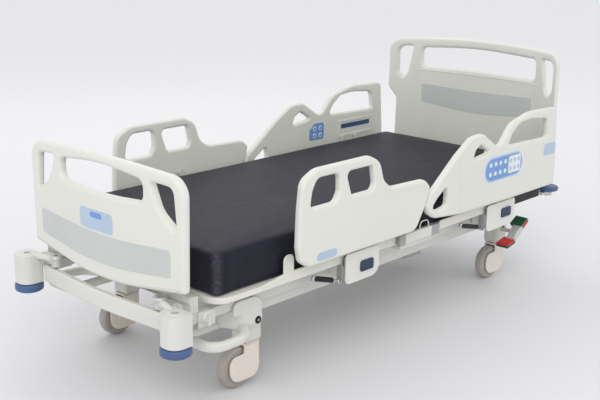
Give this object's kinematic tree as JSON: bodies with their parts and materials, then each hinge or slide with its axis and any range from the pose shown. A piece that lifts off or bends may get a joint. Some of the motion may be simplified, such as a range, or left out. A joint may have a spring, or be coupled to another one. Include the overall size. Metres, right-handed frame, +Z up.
{
  "type": "adjustable hospital bed",
  "caption": "Electric hospital bed with split side rails, bowed head and foot boards, lifting columns, hinged deck sections and swivelling casters.",
  "frame": {"origin": "on the floor under the middle of the mattress, the middle of the bed seen from above", "axes": "+X towards the head end, +Y towards the lying person's right side, +Z up"},
  "size_m": [2.38, 1.03, 1.0344],
  "materials": {
    "frame_coat": "satin powder coat",
    "casting_coat": "smooth",
    "caster_shell": "moulded",
    "tyre": "matte",
    "brake_steel": "plated",
    "pedal_plastic": "moulded",
    "lift_tube": "anodised",
    "deck_plastic": "moulded",
    "shell_plastic": "fine grain",
    "insert_laminate": "smooth",
    "bumper_plastic": "moulded",
    "mattress_cover": "coated stretch cover",
    "handle_plastic": "moulded",
    "strut_black": "gloss",
    "drive_plastic": "moulded"
  },
  "bodies": {
    "base": {"base_frame": "frame_coat", "base_corner_columns": "casting_coat", "base_corner_loops": "casting_coat", "column_outer_tubes": "lift_tube"},
    "column_middle": {"column_middle_tubes": "lift_tube"},
    "upper_frame": {"upper_frame": "frame_coat", "column_inner_tubes": "lift_tube", "foot_end_beam": "frame_coat", "corner_posts": "casting_coat", "board_sockets": "frame_coat", "seat_panel": "deck_plastic", "mattress_seat": "mattress_cover", "foot_rail_brackets": "shell_plastic", "actuator_housings": "drive_plastic", "foot_rail_struts": "strut_black", "side_trim": "shell_plastic"},
    "backrest": {"backrest_panel": "deck_plastic", "mattress_back": "mattress_cover", "head_rail_brackets": "shell_plastic", "head_rail_struts": "strut_black"},
    "thigh": {"thigh_panel": "deck_plastic", "mattress_thigh": "mattress_cover"},
    "leg": {"leg_panel": "deck_plastic", "mattress_leg": "mattress_cover"},
    "back_drive_rod": {"back_actuator_rod": "brake_steel"},
    "knee_drive_rod": {"knee_actuator_rod": "brake_steel"},
    "headboard": {"headboard": "shell_plastic", "headboard_insert": "insert_laminate"},
    "footboard": {"footboard": "shell_plastic", "footboard_insert": "insert_laminate"},
    "brake": {"brake_shaft_and_rockers": "brake_steel", "brake_pads": "pedal_plastic"},
    "caster_foot_left": {"caster_fork_foot_left": "caster_shell"},
    "wheel_foot_left": {"caster_wheel_foot_left": "tyre"},
    "bumper_foot_left": {"bumper_roller_foot_left": "bumper_plastic"},
    "foot_rail_left_arm_front": {"foot_rail_left_arm_front": "frame_coat"},
    "foot_rail_left_arm_rear": {"foot_rail_left_arm_rear": "frame_coat"},
    "foot_rail_left": {"foot_rail_left": "shell_plastic"},
    "foot_handle_left": {"foot_release_handle_left": "handle_plastic"},
    "caster_foot_right": {"caster_fork_foot_right": "caster_shell"},
    "wheel_foot_right": {"caster_wheel_foot_right": "tyre"},
    "bumper_foot_right": {"bumper_roller_foot_right": "bumper_plastic"},
    "foot_rail_right_arm_front": {"foot_rail_right_arm_front": "frame_coat"},
    "foot_rail_right_arm_rear": {"foot_rail_right_arm_rear": "frame_coat"},
    "foot_rail_right": {"foot_rail_right": "shell_plastic"},
    "foot_handle_right": {"foot_release_handle_right": "handle_plastic"},
    "caster_head_left": {"caster_fork_head_left": "caster_shell"},
    "wheel_head_left": {"caster_wheel_head_left": "tyre"},
    "bumper_head_left": {"bumper_roller_head_left": "bumper_plastic"},
    "head_rail_left_arm_front": {"head_rail_left_arm_front": "frame_coat"},
    "head_rail_left_arm_rear": {"head_rail_left_arm_rear": "frame_coat"},
    "head_rail_left": {"head_rail_left": "shell_plastic"},
    "head_handle_left": {"head_release_handle_left": "handle_plastic"},
    "caster_head_right": {"caster_fork_head_right": "caster_shell"},
    "wheel_head_right": {"caster_wheel_head_right": "tyre"},
    "bumper_head_right": {"bumper_roller_head_right": "bumper_plastic"},
    "head_rail_right_arm_front": {"head_rail_right_arm_front": "frame_coat"},
    "head_rail_right_arm_rear": {"head_rail_right_arm_rear": "frame_coat"},
    "head_rail_right": {"head_rail_right": "shell_plastic"},
    "head_handle_right": {"head_release_handle_right": "handle_plastic"}
  },
  "joints": [
    {"name": "lift", "type": "slide", "parent": "base", "child": "upper_frame", "axis": [0, 0, 1], "range_m": [0, 0.4]},
    {"name": "column_middle_slide", "type": "slide", "parent": "base", "child": "column_middle", "axis": [0, 0, 1], "range_m": [0, 0.2]},
    {"name": "backrest_tilt", "type": "hinge", "parent": "upper_frame", "child": "backrest", "pos_m": [0.27, 0, 0.49], "axis": [0, -1, 0], "range_deg": [0, 65], "deforming": ["mattress_back", "mattress_seat"]},
    {"name": "thigh_tilt", "type": "hinge", "parent": "upper_frame", "child": "thigh", "pos_m": [-0.03, 0, 0.39], "axis": [0, 1, 0], "range_deg": [0, 35], "deforming": ["mattress_thigh"]},
    {"name": "leg_tilt", "type": "hinge", "parent": "thigh", "child": "leg", "pos_m": [-0.35, 0, 0.39], "axis": [0, 1, 0], "range_deg": [-51, 0], "deforming": ["mattress_leg"]},
    {"name": "back_rod_slide", "type": "slide", "parent": "upper_frame", "child": "back_drive_rod", "axis": [1, 0, 0], "range_m": [0, 0.095]},
    {"name": "knee_rod_slide", "type": "slide", "parent": "upper_frame", "child": "knee_drive_rod", "axis": [-1, 0, 0], "range_m": [0, 0.034]},
    {"name": "headboard_lift_off", "type": "slide", "parent": "upper_frame", "child": "headboard", "axis": [0, 0, 1], "range_m": [0, 0.12]},
    {"name": "footboard_lift_off", "type": "slide", "parent": "upper_frame", "child": "footboard", "axis": [0, 0, 1], "range_m": [0, 0.12]},
    {"name": "brake_rock", "type": "hinge", "parent": "base", "child": "brake", "pos_m": [0.832, 0, 0.229], "axis": [0, 1, 0], "range_deg": [0, 38]},
    {"name": "caster_swivel_foot_left", "type": "hinge", "parent": "base", "child": "caster_foot_left", "pos_m": [-0.754, -0.335, 0.1], "axis": [0, 0, 1], "continuous": true},
    {"name": "wheel_spin_foot_left", "type": "hinge", "parent": "caster_foot_left", "child": "wheel_foot_left", "pos_m": [-0.81, -0.335, 0.075], "axis": [0, 1, 0], "continuous": true},
    {"name": "bumper_spin_foot_left", "type": "hinge", "parent": "upper_frame", "child": "bumper_foot_left", "pos_m": [-1.138, -0.414, 0.25], "axis": [0, 0, 1], "continuous": true},
    {"name": "foot_rail_left_drop", "type": "hinge", "parent": "upper_frame", "child": "foot_rail_left_arm_front", "pos_m": [-0.25, -0.4695, 0.37], "axis": [0, -1, 0], "range_deg": [0, 120], "deforming": ["foot_rail_struts"]},
    {"name": "foot_rail_left_arm_rear_swing", "type": "hinge", "parent": "upper_frame", "child": "foot_rail_left_arm_rear", "pos_m": [-0.35, -0.4695, 0.37], "axis": [0, -1, 0], "range_deg": [0, 120]},
    {"name": "foot_rail_left_level", "type": "hinge", "parent": "foot_rail_left_arm_front", "child": "foot_rail_left", "pos_m": [-0.35, -0.49, 0.54321], "axis": [0, -1, 0], "range_deg": [-120, 0]},
    {"name": "foot_handle_left_pull", "type": "slide", "parent": "upper_frame", "child": "foot_handle_left", "axis": [0, 0, 1], "range_m": [0, 0.012], "stiffness_N_per_m": 60},
    {"name": "caster_swivel_foot_right", "type": "hinge", "parent": "base", "child": "caster_foot_right", "pos_m": [-0.754, 0.335, 0.1], "axis": [0, 0, 1], "continuous": true},
    {"name": "wheel_spin_foot_right", "type": "hinge", "parent": "caster_foot_right", "child": "wheel_foot_right", "pos_m": [-0.81, 0.335, 0.075], "axis": [0, 1, 0], "continuous": true},
    {"name": "bumper_spin_foot_right", "type": "hinge", "parent": "upper_frame", "child": "bumper_foot_right", "pos_m": [-1.138, 0.414, 0.25], "axis": [0, 0, 1], "continuous": true},
    {"name": "foot_rail_right_drop", "type": "hinge", "parent": "upper_frame", "child": "foot_rail_right_arm_front", "pos_m": [-0.25, 0.4695, 0.37], "axis": [0, -1, 0], "range_deg": [0, 120]},
    {"name": "foot_rail_right_arm_rear_swing", "type": "hinge", "parent": "upper_frame", "child": "foot_rail_right_arm_rear", "pos_m": [-0.35, 0.4695, 0.37], "axis": [0, -1, 0], "range_deg": [0, 120]},
    {"name": "foot_rail_right_level", "type": "hinge", "parent": "foot_rail_right_arm_front", "child": "foot_rail_right", "pos_m": [-0.35, 0.49, 0.54321], "axis": [0, -1, 0], "range_deg": [-120, 0]},
    {"name": "foot_handle_right_pull", "type": "slide", "parent": "upper_frame", "child": "foot_handle_right", "axis": [0, 0, 1], "range_m": [0, 0.012], "stiffness_N_per_m": 60},
    {"name": "caster_swivel_head_left", "type": "hinge", "parent": "base", "child": "caster_head_left", "pos_m": [0.842, -0.335, 0.1], "axis": [0, 0, 1], "continuous": true},
    {"name": "wheel_spin_head_left", "type": "hinge", "parent": "caster_head_left", "child": "wheel_head_left", "pos_m": [0.786, -0.335, 0.075], "axis": [0, 1, 0], "continuous": true},
    {"name": "bumper_spin_head_left", "type": "hinge", "parent": "upper_frame", "child": "bumper_head_left", "pos_m": [1.138, -0.42, 0.374], "axis": [0, 0, 1], "continuous": true},
    {"name": "head_rail_left_drop", "type": "hinge", "parent": "backrest", "child": "head_rail_left_arm_front", "pos_m": [0.595, -0.4695, 0.37], "axis": [0, 1, 0], "range_deg": [0, 120], "deforming": ["head_rail_struts"]},
    {"name": "head_rail_left_arm_rear_swing", "type": "hinge", "parent": "backrest", "child": "head_rail_left_arm_rear", "pos_m": [0.695, -0.4695, 0.37], "axis": [0, 1, 0], "range_deg": [0, 120]},
    {"name": "head_rail_left_level", "type": "hinge", "parent": "head_rail_left_arm_front", "child": "head_rail_left", "pos_m": [0.695, -0.49, 0.54321], "axis": [0, 1, 0], "range_deg": [-120, 0]},
    {"name": "head_handle_left_pull", "type": "slide", "parent": "backrest", "child": "head_handle_left", "axis": [0, 0, 1], "range_m": [0, 0.012], "stiffness_N_per_m": 60},
    {"name": "caster_swivel_head_right", "type": "hinge", "parent": "base", "child": "caster_head_right", "pos_m": [0.842, 0.335, 0.1], "axis": [0, 0, 1], "continuous": true},
    {"name": "wheel_spin_head_right", "type": "hinge", "parent": "caster_head_right", "child": "wheel_head_right", "pos_m": [0.786, 0.335, 0.075], "axis": [0, 1, 0], "continuous": true},
    {"name": "bumper_spin_head_right", "type": "hinge", "parent": "upper_frame", "child": "bumper_head_right", "pos_m": [1.138, 0.42, 0.374], "axis": [0, 0, 1], "continuous": true},
    {"name": "head_rail_right_drop", "type": "hinge", "parent": "backrest", "child": "head_rail_right_arm_front", "pos_m": [0.595, 0.4695, 0.37], "axis": [0, 1, 0], "range_deg": [0, 120]},
    {"name": "head_rail_right_arm_rear_swing", "type": "hinge", "parent": "backrest", "child": "head_rail_right_arm_rear", "pos_m": [0.695, 0.4695, 0.37], "axis": [0, 1, 0], "range_deg": [0, 120]},
    {"name": "head_rail_right_level", "type": "hinge", "parent": "head_rail_right_arm_front", "child": "head_rail_right", "pos_m": [0.695, 0.49, 0.54321], "axis": [0, 1, 0], "range_deg": [-120, 0]},
    {"name": "head_handle_right_pull", "type": "slide", "parent": "backrest", "child": "head_handle_right", "axis": [0, 0, 1], "range_m": [0, 0.012], "stiffness_N_per_m": 60}
  ],
  "couplings": [
    {"joint": "column_middle_slide", "follows": "lift", "ratio": 0.5},
    {"joint": "leg_tilt", "follows": "thigh_tilt", "ratio": -1.45},
    {"joint": "back_rod_slide", "follows": "backrest_tilt", "m_per_rad": 0.08},
    {"joint": "knee_rod_slide", "follows": "thigh_tilt", "m_per_rad": 0.05},
    {"joint": "foot_rail_left_arm_rear_swing", "follows": "foot_rail_left_drop", "ratio": 1},
    {"joint": "foot_rail_left_level", "follows": "foot_rail_left_drop", "ratio": -1},
    {"joint": "foot_rail_right_arm_rear_swing", "follows": "foot_rail_right_drop", "ratio": 1},
    {"joint": "foot_rail_right_level", "follows": "foot_rail_right_drop", "ratio": -1},
    {"joint": "head_rail_left_arm_rear_swing", "follows": "head_rail_left_drop", "ratio": 1},
    {"joint": "head_rail_left_level", "follows": "head_rail_left_drop", "ratio": -1},
    {"joint": "head_rail_right_arm_rear_swing", "follows": "head_rail_right_drop", "ratio": 1},
    {"joint": "head_rail_right_level", "follows": "head_rail_right_drop", "ratio": -1}
  ]
}
